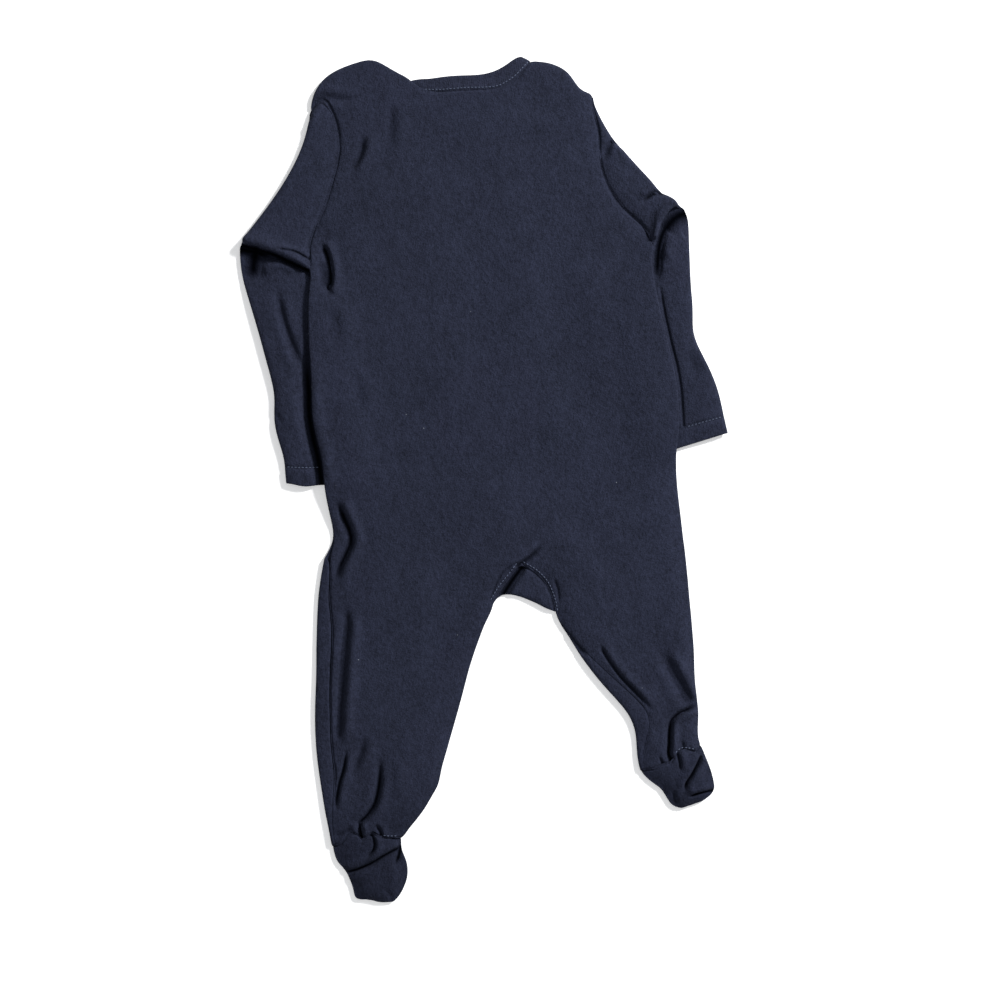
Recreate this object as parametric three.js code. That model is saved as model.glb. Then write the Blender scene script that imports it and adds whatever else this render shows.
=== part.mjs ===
import * as THREE from 'three';

// A footed sleeper lying flat, face down, back up. Millimetres, Z up.
// X runs to the right of the garment as seen from above, Y to the neck.

// Driving sizes
const CLOTH = 1.2; // thickness of the knit
const RIB = 1.2; // thickness of the neckband
const HEM = 1.7; // thickness of a sleeve wall where the hem is turned up
const HEM_DEPTH = 13; // from the sleeve's end to the hem stitch
const SEAM = 0.5; // space left between two pieces at a seam
const ARMHOLE_GAP = 0.8; // the same at a curved armhole
const EDGE = 0.4; // a panel's end, inside the outline
const FLOOR = CLOTH / 2; // middle of a wall that rests on the surface
const PUFF = 4.8; // middle of the back wall above the surface
const OVER_ARM = 5.6; // middle of the front wall where it lies on a sleeve
const SEAM_RISE = 1.55; // least distance between the middles of two walls
const LAP_LIFT = 0.85; // the lapped edge is held off the surface by its snaps
const LAP_HALF = 11; // half the width of the lap at the centre front
const LAP_MIDDLE = 6; // the lap's middle line, to the right of the middle
const SNAP_RADIUS = 4.75;
const SNAP_THICK = 0.5;

const TO_MIDDLE = [-0.5, 0.6]; // puts the middle of the whole at X = Y = 0

const NAVY = 0x2a2d3b;
const NAVY_RIB = 0x2c3040;
const SNAP_COLOUR = 0x3a3f50;

// Back edge and armholes. Columns: x, y.
const NECK_LINE = [
  [-102.5, 283.6], [-100.8, 290.5], [-97.8, 297.2], [-92.4, 304.6], [-86.4, 308.8],
  [-80, 311.8], [-67, 314], [-52, 317.1], [-44, 311.5],
  [-36, 304.5], [-28, 298.5], [-21, 291], [-14, 285.5], [-3, 283.3], [8, 282.3],
  [19, 281.3], [30, 279.8], [40, 279.3], [48, 281.5], [56, 285.5], [63, 291],
  [70, 296], [79, 294.5], [88, 290], [95, 282], [101, 270], [108.5, 262.5],
];
const NECK_MIDDLE = 14; // row of the neck line on the centre back

const LEFT_ARMHOLE = [
  [-102.5, 283.6], [-97, 289.6], [-91.2, 291.2], [-87, 285], [-84, 268], [-86, 249], [-94, 229],
  [-104, 209], [-113, 195], [-119, 184], [-120, 176], [-119, 168],
];
const RIGHT_ARMHOLE = [
  [108.5, 262.5], [110.5, 248], [111.5, 234], [109.5, 220], [109.5, 206],
  [112.5, 193], [119, 178], [129, 166], [136, 156], [138.5, 145],
];

// Body as sections across. Columns: y on the left, x of the outline on the
// left, y on the right, x of the outline on the right, width of the front
// cloth that is turned up on the left.
const BODY = [
  [168, -119, 145, 138.5, 0], [157, -122, 137, 136.8, 0], [144, -125.5, 128, 135.8, 0],
  [128, -128, 115, 135.8, 0], [110, -130.3, 100, 136.6, 0], [92, -131.5, 84, 138, 0],
  [74, -133.3, 68, 139.2, 0], [56, -136.3, 51, 140.8, 0], [39, -135.4, 35, 141, 0],
  [22, -133, 19, 139.6, 0], [5, -134.8, 3, 137.4, 0], [-10, -135.2, -11, 132.8, 0],
  [-25, -134, -26, 130.8, 0], [-40, -133.4, -41, 129.2, 0], [-53, -144, -53, 128.3, 4],
  [-66, -148.4, -66, 128, 7.2], [-78, -152, -78, 128, 8.2],
];

// Legs as sections across. Columns: y of the outer end, x there, y of the
// inner end, x there, width of the front cloth that is turned up on the
// outer side and on the inner side.
const LEFT_LEG = [
  [-87, -154, -86, -6, 9, 0],
  [-97, -156, -95, -15.5, 11, 0], [-108, -158, -106, -23.5, 12, 0],
  [-122, -160.5, -120, -30.5, 12, 0], [-136, -162.5, -136, -39.5, 11, 0],
  [-151, -165.3, -152, -47.6, 11, 0], [-167, -168.4, -168, -54.2, 12, 0],
  [-183, -170.6, -185, -61.8, 12, 0], [-200, -172, -201, -69.2, 12, 0],
  [-215, -172.2, -217, -76.4, 12, 0], [-229, -172.1, -232, -84, 9, 0],
  [-243, -172, -246, -91.6, 5, 0], [-254, -171.2, -257, -102, 3, 0],
  [-262, -171, -264, -110.5, 2.4, 0], [-269.5, -170.6, -270.5, -116.2, 2.4, 0],
];
const RIGHT_LEG = [
  [-88, 128, -86.5, 13.5, 0, 0],
  [-99, 127.6, -97, 20.5, 0, 0], [-111, 127, -110, 23.3, 0, 0],
  [-124, 126, -124, 23.6, 0, 0], [-137, 125.4, -138, 30.2, 0, 2.4],
  [-150, 124.4, -152, 35.8, 0, 5], [-163, 123.6, -166, 43, 0, 9],
  [-176, 121.8, -179, 50.6, 0, 12], [-189, 120.2, -192, 59.6, 0, 14],
  [-202, 120, -204, 67, 0, 15], [-212, 119.6, -216, 70, 0, 12],
  [-222, 117.2, -227, 69.4, 0, 7], [-230, 116.2, -237, 68.2, 0, 4],
  [-235.5, 117.6, -247.5, 69, 0, 2.4],
];

// Feet. Columns: y and x of the outer end, y and x of the inner end, height
// of the wall's middle on the axis.
const LEFT_FOOT = [
  [-270.2, -170.4, -271.2, -117.4, 5.2], [-276, -169.6, -277, -119, 5.4],
  [-281.5, -168.6, -283, -118.2, 4.6], [-286.5, -164.6, -289, -116.4, 4.4],
  [-292, -162, -295, -116.4, 5.6], [-299, -160.3, -301.5, -117.6, 6.2],
  [-306, -159.2, -307.5, -121, 6], [-311.4, -157, -313, -124.8, 5.2],
  [-316, -149, -317.6, -130.6, 4.4],
];
const RIGHT_FOOT = [
  [-236.2, 117.9, -248.2, 69.4, 5.2], [-242, 119.2, -253, 73.4, 5.4],
  [-248, 120.6, -257.6, 77.6, 4.8], [-254.5, 122.2, -262.6, 82.4, 5.6],
  [-261.5, 123, -268, 84.8, 6], [-268, 123.2, -273.6, 87, 5.6],
  [-273, 121.4, -277.6, 89.2, 5], [-277.6, 111.6, -280.4, 95.6, 4.4],
];

// Sleeves beyond the armhole seam, up to the rim of the elbow fold. Columns:
// x and y of five points of a section from the underarm to the outline, and
// the height of the upper wall at the three inner points.
const LEFT_UPPER_ARM = [
  [-120.6, 168.4, -121, 193.6, -106, 224, -94, 258, -102.8, 281, 5.8, 5.2, 5],
  [-121, 168, -127.5, 190.5, -119.5, 217, -110.5, 240, -111.5, 258, 6, 5.6, 5.2],
  [-121.3, 167.6, -131, 187.5, -131, 209, -127, 224.5, -127, 236, 6.2, 5.9, 5.4],
  [-121.6, 167.2, -133.4, 184, -140.5, 200, -144.5, 209.5, -145.5, 216, 6.6, 6.3, 5.8],
];
const RIGHT_UPPER_ARM = [
  [138.9, 144.6, 134, 168.4, 121.4, 191, 115.4, 217, 112.6, 250, 5.8, 5.2, 5],
  [139.2, 144.3, 138, 169, 128.4, 191.6, 121.2, 212.4, 118.2, 231, 6, 5.5, 5.2],
  [139.4, 144.1, 141, 168.4, 135.6, 188, 130.6, 202.4, 130.4, 213.6, 6.2, 5.8, 5.4],
  [139.6, 143.9, 144, 166, 142.6, 180.4, 142.4, 189.6, 144.2, 191.6, 6.6, 6.3, 5.8],
];

// The elbow fold. Columns: how far a row lies beyond the rim where the fold is
// deep, how far at its two ends, and the height of the wall.
const FOLD = [
  [-2.6, -3.6, 7.4], [-0.5, -2.4, 7.25], [0.1, -1.2, 6.5], [-0.6, 0, 5.8],
  [-6.6, 1.2, 5.7], [-7.3, 2.4, 4.85], [-6.6, 3.6, 4], [0.2, 4.8, 3.9],
];
const LEFT_RIM = [
  [-121.8, 166.6], [-133.6, 174.8], [-146, 182.6], [-158.5, 188.8], [-168.6, 193.4],
];
const RIGHT_RIM = [
  [139.8, 143.4], [145, 156.6], [150, 164.4], [156.6, 170.2], [163.6, 171.6],
];

// Forearms. Columns: x and y of the inner edge, x and y of the outer edge,
// heights of the upper wall at the three points between.
const LEFT_FOREARM = [
  [-120.4, 160.5, -172.8, 176, 3.8, 4.2, 2.6], [-117, 154, -172.2, 163, 3.7, 4.6, 3.2],
  [-114.5, 143, -170.2, 150, 3.5, 4.2, 4.4], [-110, 130, -168.2, 136, 3.2, 3.8, 4.9],
  [-107.6, 116, -166.2, 121, 3, 3.4, 5.1], [-106.6, 102, -164.6, 106, 2.8, 3, 5.1],
  [-106, 87, -162.6, 90, 2.7, 2.6, 5], [-105.8, 72, -161.4, 74, 2.6, 2.4, 4.8],
  [-105.6, 58, -165.6, 58, 2.6, 2.4, 4.9], [-105.4, 43, -164.6, 43, 2.6, 2.3, 5],
  [-105.4, 30, -161.8, 29, 2.6, 2.4, 4.9], [-105.4, 15, -162.4, 19, 2.8, 2.8, 4.7],
  [-105.6, -2.5, -163.2, 9.5, 2.8, 2.8, 4.3],
];
const RIGHT_FOREARM = [
  [137.6, 138.5, 168.2, 160, 3.7, 3.6, 2.6], [132.6, 131, 166.8, 148, 3.6, 4.2, 3.2],
  [127, 120, 165.2, 135, 3.4, 4.2, 4], [120.6, 107, 163.6, 121, 3.2, 4, 4.6],
  [117, 93, 162.2, 107, 3, 3.8, 4.8], [115, 79, 161.6, 92, 2.9, 3.6, 4.8],
  [114.4, 65, 158.4, 77, 2.8, 3.6, 4.6], [114, 52, 160.6, 64, 2.8, 3.6, 4.8],
  [113.8, 38, 166.4, 48, 2.8, 3.7, 4.9], [113.6, 25, 170.6, 33, 2.8, 3.7, 4.9],
  [113.6, 12, 172, 20, 2.8, 3.6, 4.8], [113.6, 0, 172.4, 8, 2.8, 3.5, 4.6],
  [113.6, -11.5, 173.6, -2.5, 2.8, 3.4, 4.2],
];

// Creases in the back. Columns: x, y of one end, x, y of the other, depth
// (ridges are negative), half width.
const CREASES = [
  [-104, 187, -104, 164, 2.4, 4.5], [-104, 164, -112, 150, 2, 4.5],
  [-66, 257, -80, 234, 0.9, 7], [-42, 280, -50, 243, 0.7, 7],
  [-91, 291, -60, 295, 1, 5], [-84, 150, -78, 20, 0.5, 10],
  [-126, -12, -121, -40, 1.3, 7], [-121, -40, -137, -72, 1.6, 6],
  [-134, -100, -155, -190, 2, 6], [-142, -90, -160, -190, -0.3, 6],
  [-134, -188, -149, -218, 1, 6], [-125, -212, -130, -234, 1.4, 6],
  [-130, -234, -150, -255, 2, 6], [-108, -210, -118, -250, -0.6, 8],
  [3, -77, 20, -68, 0.8, 5], [98, -160, 112, -203, 1.1, 7],
  [118, -206, 97, -215, 1.8, 5], [97, -215, 92, -240, 1.8, 5],
  [80, -196, 82, -238, -0.6, 6], [-90, -262, -165, -262, 0.6, 4],
  [60, 150, 70, 0, 0.4, 14], [-20, 190, -30, -20, -0.4, 20],
];

// Neck edge of the front, hidden under the back. Columns: x, y.
const LEFT_SCOOP = [
  [-102.5, 283.6], [-100.4, 290.6], [-97.2, 297], [-92, 303.8], [-86, 307.8], [-80, 310.4],
  [-68, 312.8], [-58, 312.4], [-55.6, 303],
  [-51, 289.4], [-43.2, 274.8], [-29, 259.2], [-11.4, 249.1], [6, 246.1], [17, 246.1],
];
const RIGHT_SCOOP = [
  [108.5, 262.5], [101, 270], [95, 281.4], [88, 289.2], [79, 293.6], [71.4, 296],
  [68.9, 291], [66.9, 282.6], [57.5, 267.2], [43, 254], [24.7, 247.2], [8, 246.1], [-5, 246.1],
];
const SCOOP_LOW = 246.1;

// The neckband, from the outer lap round by the left to the inner lap.
// Columns: x, y of its free edge, x, y of its seam, height.
const BAND = [
  [17, 257, 17, 246.7, 1.45], [6, 257, 6, 246.7, 1.45], [-8, 259.5, -11, 250.3, 1.3],
  [-22, 268, -28.4, 259.8, 0.75], [-34, 281, -42.5, 275.2, 0.65],
  [-41, 294, -50.2, 289.7, 0.65], [-44.6, 304.6, -53.4, 301, 0.75],
  [-46.6, 308.8, -54.2, 304.6, 1.75], [-45, 308.2, -52.6, 304, 2.75],
  [-36, 301.2, -42.5, 293.4, 2.8], [-27, 295.2, -32.6, 286.6, 2.8],
  [-19, 293.6, -21.8, 283.8, 2.85], [-9, 294.6, -10, 285.8, 3.3],
  [3, 294.4, 2.6, 283.9, 4.3], [14, 293.4, 13, 282.9, 4.6], [26, 291.6, 25.2, 281.4, 4.7],
  [36, 291.6, 36, 280.5, 4.7], [45, 293.8, 47.2, 282.2, 4.7],
  [52.6, 297.6, 57.2, 287.6, 4.5], [57.6, 300.2, 63.4, 292.8, 4],
  [61.2, 300.8, 67.4, 296.6, 3], [62.8, 299.6, 68.2, 295.8, 1.9],
  [61.4, 296.4, 67, 292, 0.75], [57, 287, 66, 283, 0.65], [49, 274, 57, 267.8, 0.65],
  [37, 263.6, 42, 255.6, 0.9], [22, 258, 24.3, 248.4, 2.75],
  [8, 257, 8, 246.7, 2.98], [-5, 257, -5, 246.7, 3],
];

// The gusset's two sides, from the crotch seam to its fold, and the fold from
// left to right. Columns: x, y.
const GUSSET_LEFT = [[2.9, -79.8], [-5, -87.2], [-13.9, -95.9], [-21.9, -106.6], [-26, -113]];
const GUSSET_RIGHT = [[3.6, -79.9], [12.8, -88.2], [19.7, -98.4], [22.5, -111], [22.8, -118]];
const GUSSET_FOLD = [[-26, -113], [-20.5, -104], [-12.5, -98.4], [-2, -101.6], [10, -108.4], [22.8, -118]];

// Heights along the lap of the seven snaps
const SNAPS = [250, 205, 160, 115, 70, 25, -20];

// A column of a table read at any place, smoothly.
function column(table, key, value) {
  const last = table.length - 1;
  return (at) => {
    const rising = table[last][key] > table[0][key];
    let row = 0;
    while (row < last - 1 && (rising ? at > table[row + 1][key] : at < table[row + 1][key])) {
      row += 1;
    }
    const step = table[row + 1][key] - table[row][key];
    const t = Math.min(1, Math.max(0, (at - table[row][key]) / step));
    const p0 = table[Math.max(0, row - 1)][value];
    const p1 = table[row][value];
    const p2 = table[row + 1][value];
    const p3 = table[Math.min(last, row + 2)][value];
    return cubic(p0, p1, p2, p3, t);
  };
}

function cubic(p0, p1, p2, p3, t) {
  const m1 = (p2 - p0) / 2;
  const m2 = (p3 - p1) / 2;
  const t2 = t * t;
  const t3 = t2 * t;
  return (2 * t3 - 3 * t2 + 1) * p1 + (t3 - 2 * t2 + t) * m1
    + (3 * t2 - 2 * t3) * p2 + (t3 - t2) * m2;
}

// A curve through points, read by share of its length.
function track(points) {
  const ends = points.map((p) => new THREE.Vector3(p[0], p[1], p[2] || 0));
  const curve = new THREE.CatmullRomCurve3(ends, false, 'centripetal');
  curve.arcLengthDivisions = 400;
  return (share) => curve.getPointAt(Math.min(1, Math.max(0, share)));
}

function ease(from, to, at) {
  const t = Math.min(1, Math.max(0, (at - from) / (to - from)));
  return t * t * (3 - 2 * t);
}

// How far the body is lifted by the sleeves that lie under its sides: 0 to 1.
const leftInner = column(LEFT_FOREARM, 1, 0);
const rightInner = column(RIGHT_FOREARM, 1, 0);
function lift(x, y) {
  const left = leftInner(y) - Math.max(0, y - 161) * 0.6;
  const right = rightInner(y) + Math.max(0, y - 139) * 0.6;
  const onLeft = ease(left + 15, left + 2, x) * ease(-16, -4, y) * ease(196, 172, y);
  const onRight = ease(right - 15, right - 2, x) * ease(-27, -14, y) * ease(176, 150, y);
  return Math.max(onLeft, onRight);
}

// Middle of the front wall, the side that rests on the surface.
function frontHeight(x, y) {
  return FLOOR + (OVER_ARM - FLOOR) * lift(x, y);
}

function lapHeight(x, y, outer) {
  const across = Math.abs(x - LAP_MIDDLE);
  const onLap = outer
    ? ease(LAP_HALF + 9, LAP_HALF + 1, across)
    : ease(LAP_HALF + 26, LAP_HALF + 12, across);
  const inUse = ease(-94, -79, y);
  const rise = outer ? LAP_LIFT : LAP_LIFT + SEAM_RISE;
  return frontHeight(x, y) + rise * onLap * inUse;
}

function creaseAt(x, y) {
  let sum = 0;
  for (const [x0, y0, x1, y1, depth, half] of CREASES) {
    const dx = x1 - x0;
    const dy = y1 - y0;
    const share = ((x - x0) * dx + (y - y0) * dy) / (dx * dx + dy * dy);
    const t = Math.min(1, Math.max(0, share));
    const away = Math.hypot(x - x0 - t * dx, y - y0 - t * dy) / half;
    sum += depth * Math.exp(-away * away);
  }
  return sum;
}

// Heights of the back wall where it meets another piece: a flat front edge
// that it lies on, or turned-up front cloth that it lies beside.
function overSeam(x, y) {
  const raised = lift(x, y);
  return lapHeight(x, y, false) + SEAM_RISE + 0.05 + raised * (3.3 - 3 * raised);
}

function besideSeam(x, y) {
  return Math.max(3.7, overSeam(x, y));
}

// Middle of the back wall. The edge share is 0 on the piece's edge, 1 inside.
function backHeight(x, y, inside, seam) {
  const full = PUFF + 2.9 * lift(x, y) - creaseAt(x, y);
  const free = Math.max(overSeam(x, y) + 0.1, full);
  return seam + (free - seam) * inside;
}

// A surface of four-sided facets, with points shared where they coincide.
class Surface {
  constructor() {
    this.points = [];
    this.facets = [];
    this.known = new Map();
  }

  point(p) {
    const name = [p.x, p.y, p.z].map((v) => Math.round(v * 1e4)).join();
    if (!this.known.has(name)) {
      this.known.set(name, this.points.length);
      this.points.push(p.clone());
    }
    return this.known.get(name);
  }

  // Rows of points; a ring has its last point joined to its first.
  grid(rows, ring = false, turned = false) {
    const ids = rows.map((row) => row.map((p) => this.point(p)));
    for (let i = 0; i + 1 < ids.length; i += 1) {
      const count = ids[i].length;
      for (let j = 0; j < (ring ? count : count - 1); j += 1) {
        const k = (j + 1) % count;
        const facet = [ids[i][j], ids[i + 1][j], ids[i + 1][k], ids[i][k]];
        this.facets.push(turned ? facet.reverse() : facet);
      }
    }
    return this;
  }

  normals() {
    const sums = this.points.map(() => new THREE.Vector3());
    for (const facet of this.facets) {
      const [a, b, c, d] = facet.map((id) => this.points[id]);
      const across = c.clone().sub(a).cross(d.clone().sub(b));
      facet.forEach((id) => sums[id].add(across));
    }
    return sums.map((n) => n.normalize());
  }

  // The closed solid of a wall round this surface.
  thicken(wall) {
    const thick = typeof wall === 'function' ? wall : () => wall;
    const normals = this.normals();
    const count = this.points.length;
    const corners = [];
    for (const side of [0.5, -0.5]) {
      this.points.forEach((p, id) => {
        corners.push(p.clone().addScaledVector(normals[id], side * thick(p)));
      });
    }
    const faces = [];
    const open = new Map();
    for (const facet of this.facets) {
      faces.push(facet);
      faces.push(facet.map((id) => id + count).reverse());
      facet.forEach((id, at) => {
        const next = facet[(at + 1) % 4];
        const back = `${next},${id}`;
        if (open.has(back)) {
          open.delete(back);
        } else {
          open.set(`${id},${next}`, [id, next]);
        }
      });
    }
    for (const [a, b] of open.values()) {
      faces.push([b, a, a + count, b + count]);
    }
    const index = [];
    for (const [a, b, c, d] of faces) {
      const one = corners[a].distanceTo(corners[c]);
      const other = corners[b].distanceTo(corners[d]);
      if (one <= other) {
        index.push(a, b, c, a, c, d);
      } else {
        index.push(a, b, d, b, c, d);
      }
    }
    const geometry = new THREE.BufferGeometry();
    const numbers = corners.flatMap((p) => [p.x, p.y, p.z]);
    geometry.setAttribute('position', new THREE.Float32BufferAttribute(numbers, 3));
    geometry.setIndex(index);
    geometry.computeVertexNormals();
    return geometry;
  }
}

function spaced(count) {
  return Array.from({ length: count + 1 }, (_, i) => i / count);
}

function at(x, y, z = 0) {
  return new THREE.Vector3(x, y, z);
}

const leftArmhole = track(LEFT_ARMHOLE);
const rightArmhole = track(RIGHT_ARMHOLE);
const neckLeft = track(NECK_LINE.slice(0, NECK_MIDDLE + 1));
const neckRight = track(NECK_LINE.slice(NECK_MIDDLE).reverse());
const scoopLeft = track(LEFT_SCOOP);
const scoopRight = track(RIGHT_SCOOP);

const DOWN = [0, 0.022, 0.08, 0.17, 0.27, 0.37, 0.47, 0.57, 0.67, 0.77, 0.88];
const HALF_COLUMNS = 11;
const MIDDLE_X = (y) => 3 + 5 * ease(-78, 283, y);
const ACROSS = spaced(HALF_COLUMNS).map((t) => 1 - (1 - t) ** 1.15);

// Where the back ends, for an outline with so much front cloth turned up.
function backInset(turn) {
  return turn > 0 ? turn + SEAM : EDGE;
}

function armholeSeam(x, y) {
  return backHeight(x, y, 0.3, frontHeight(x, y) + SEAM_RISE + 1.3);
}

// The part of a panel above the armpit, between an armhole and the middle.
function upperRow(armhole, top, down, endX, endTop, endLow, steps) {
  const edge = armhole(down);
  const endY = endTop + (endLow - endTop) * down;
  const end = at(endX(endY), endY);
  const chordStart = armhole(0);
  const chordEnd = at(endX(endTop), endTop);
  const fade = (1 - down) ** 1.6;
  const slide = edge.clone().sub(chordStart).multiplyScalar(1 - ease(0, 0.4, down));
  return steps.map((t) => {
    const bend = top(t).sub(chordStart.clone().lerp(chordEnd, t)).multiplyScalar(fade);
    const p = edge.clone().lerp(end, t).add(bend);
    return p.addScaledVector(slide, (1 - t) ** 4 - (1 - t));
  });
}

function backRows(side) {
  const armhole = side < 0 ? leftArmhole : rightArmhole;
  const neck = side < 0 ? neckLeft : neckRight;
  const rows = DOWN.map((down, index) => {
    const row = upperRow(armhole, neck, down, MIDDLE_X, 282.3, 157, ACROSS);
    row.forEach((p, i) => {
      const atNeck = p.x > -53 && p.x < 69;
      const low = overSeam(p.x, p.y);
      const full = backHeight(p.x, p.y, 1, low);
      const armEdge = armholeSeam(p.x, p.y);
      const inner = armEdge + (full - armEdge) * ease(0, 0.09, ACROSS[i]);
      const rise = atNeck ? [0.97, 1, 1] : [0, 0.75, 0.97];
      p.z = index < 3 ? low + (inner - low) * rise[index] : inner;
    });
    return row;
  });
  for (const [leftY, leftX, rightY, rightX, turn] of BODY) {
    const start = side < 0
      ? at(leftX + backInset(turn), leftY)
      : at(rightX - EDGE, rightY);
    const middleY = (leftY + rightY) / 2;
    const end = at(MIDDLE_X(middleY), middleY);
    const left = turn > 0 ? besideSeam(leftX, leftY) : overSeam(leftX, leftY);
    const seam = side < 0 ? left : overSeam(rightX, rightY);
    rows.push(ACROSS.map((t) => {
      const p = start.clone().lerp(end, t);
      p.z = backHeight(p.x, p.y, ease(0, 0.09, t), seam);
      return p;
    }));
  }
  return rows;
}

function backLeg(side) {
  const table = side < 0 ? LEFT_LEG : RIGHT_LEG;
  const steps = spaced(HALF_COLUMNS).map((t) => {
    return 0.5 - 0.5 * Math.cos(Math.PI * (0.06 + 0.88 * t)) / Math.cos(Math.PI * 0.06);
  });
  return table.map(([outerY, outerX, innerY, innerX, outerTurn, innerTurn]) => {
    const start = at(outerX - side * backInset(outerTurn), outerY);
    const end = at(innerX + side * backInset(innerTurn), innerY);
    const outerSeam = outerTurn > 0 ? besideSeam(outerX, outerY) : overSeam(outerX, outerY);
    const innerSeam = innerTurn > 0 ? besideSeam(innerX, innerY) : overSeam(innerX, innerY);
    return steps.map((t) => {
      const p = start.clone().lerp(end, t);
      const inside = ease(0, 0.11, t) * ease(1, 0.89, t);
      p.z = backHeight(p.x, p.y, inside, t < 0.5 ? outerSeam : innerSeam);
      return p;
    });
  });
}

function back() {
  const surface = new Surface();
  for (const side of [-1, 1]) {
    const rows = backRows(side);
    surface.grid(rows, false, side > 0);
    surface.grid([rows[rows.length - 1], ...backLeg(side)], false, side > 0);
  }
  return surface;
}

// The cloth turned up along an outline: from the panel's end, round and in.
function turnUp(outline, inward, turn, low, high) {
  const mid = outline.clone().addScaledVector(inward, CLOTH / 2);
  mid.z = (low + high) / 2;
  const first = outline.clone().addScaledVector(inward, Math.min(1.5, turn * 0.6));
  first.z = high;
  const last = outline.clone().addScaledVector(inward, turn);
  last.z = high;
  return [mid, first, last];
}

const LEFT_STEPS = [0, 0.025, 0.1, 0.19, 0.305, 0.421, 0.537, 0.652, 0.768, 0.875, 0.955, 1];
const RIGHT_STEPS = [0, 0.025, 0.1, 0.22, 0.35, 0.48, 0.61, 0.74, 0.86, 0.95, 1];

function frontPanel(side) {
  const outer = side < 0;
  const armhole = outer ? leftArmhole : rightArmhole;
  const scoop = outer ? scoopLeft : scoopRight;
  const table = outer ? LEFT_LEG : RIGHT_LEG;
  const steps = outer ? LEFT_STEPS : RIGHT_STEPS;
  const lapEdge = (y) => {
    const shut = ease(-50, -76, y);
    const open = LAP_MIDDLE - side * LAP_HALF;
    const crotch = outer ? 2.8 : 3.2;
    return open + (crotch - open) * shut;
  };
  const settle = (p) => {
    p.z = lapHeight(p.x, p.y, outer);
    return p;
  };
  const rows = DOWN.filter((down) => down !== 0.022).map((down) => {
    return upperRow(armhole, scoop, down, lapEdge, SCOOP_LOW, 157, steps).map(settle);
  });
  const turns = [];
  const innerTurns = [];

  // The end of a row: flat at the outline, or the start of the turned-up cloth.
  const finish = (outline, inward, turn, into) => {
    if (turn === 0) {
      return settle(outline.clone().addScaledVector(inward, EDGE));
    }
    const low = lapHeight(outline.x, outline.y, outer);
    const up = turnUp(outline, inward, turn, low, besideSeam(outline.x, outline.y));
    into.push(up);
    return up[0];
  };
  for (const [leftY, leftX, rightY, rightX, turn] of BODY) {
    const outline = outer ? at(leftX, leftY) : at(rightX, rightY);
    const start = finish(outline, at(-side, 0), outer ? turn : 0, turns);
    const middleY = (leftY + rightY) / 2;
    const end = at(lapEdge(middleY), middleY);
    rows.push(steps.map((t) => {
      return t === 0 ? start : settle(outline.clone().lerp(end, t));
    }));
  }
  for (const [outerY, outerX, innerY, innerX, outerTurn, innerTurn] of table) {
    const outline = at(outerX, outerY);
    const inline = at(innerX, innerY);
    const start = finish(outline, at(-side, 0), outerTurn, turns);
    const end = finish(inline, at(side, 0), innerTurn, innerTurns);
    rows.push(steps.map((t) => {
      if (t === 0) {
        return start;
      }
      return t === 1 ? end : settle(outline.clone().lerp(inline, t));
    }));
  }
  const surface = new Surface();
  surface.grid(rows);
  surface.grid(turns, false, true);
  surface.grid(innerTurns);
  return surface;
}

// The gusset lies double: its fold is the edge between the legs.
function gusset() {
  const left = track(GUSSET_LEFT);
  const right = track(GUSSET_RIGHT);
  const fold = track(GUSSET_FOLD);
  const row = (down, top, beyond = 0) => spaced(9).map((t) => {
    const bend = fold(t).sub(left(1).lerp(right(1), t));
    const p = left(down).lerp(right(down), t).addScaledVector(bend, down ** 1.5);
    p.y -= beyond;
    const high = 2.25 + 1.35 * ease(0.3, 1, t) + 0.9 * (1 - down) * (1 - t);
    p.z = FLOOR + (high - FLOOR) * top;
    return p;
  });
  const shares = [0, 0.25, 0.5, 0.75, 1];
  const rows = shares.map((down) => row(down, 1));
  rows.push(row(1, 0.5, 0.9));
  shares.reverse().forEach((down) => rows.push(row(down, 0)));
  return new Surface().grid(rows);
}

const RING_TOP = [0, 0.03, 0.12, 0.23, 0.33, 0.43, 0.53, 0.63, 0.73, 0.83, 0.92, 0.978, 1];
const RING_LOW = [0.92, 0.83, 0.73, 0.63, 0.53, 0.43, 0.33, 0.23, 0.12, 0.03];
const RING_EDGE = 2.2; // height of the two edges of a flattened ring

function five(values, t) {
  const i = Math.min(3, Math.floor(t * 4));
  const pick = (k) => values[Math.min(4, Math.max(0, k))];
  return cubic(pick(i - 1), pick(i), pick(i + 1), pick(i + 2), t * 4 - i);
}

function arch(t, width, radius) {
  const away = Math.min(1, Math.min(t, 1 - t) * width / radius);
  return Math.sqrt(1 - (1 - away) ** 2);
}

// A sleeve's wall, thicker where the hem is turned up.
const hemWall = (side) => (p) => {
  const end = side < 0 ? 12 * ease(-106, -163, p.x) - 2.5 : -11.5 + 9 * ease(113, 173, p.x);
  return CLOTH + (HEM - CLOTH) * ease(end + HEM_DEPTH + 4, end + HEM_DEPTH, p.y);
};

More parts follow.
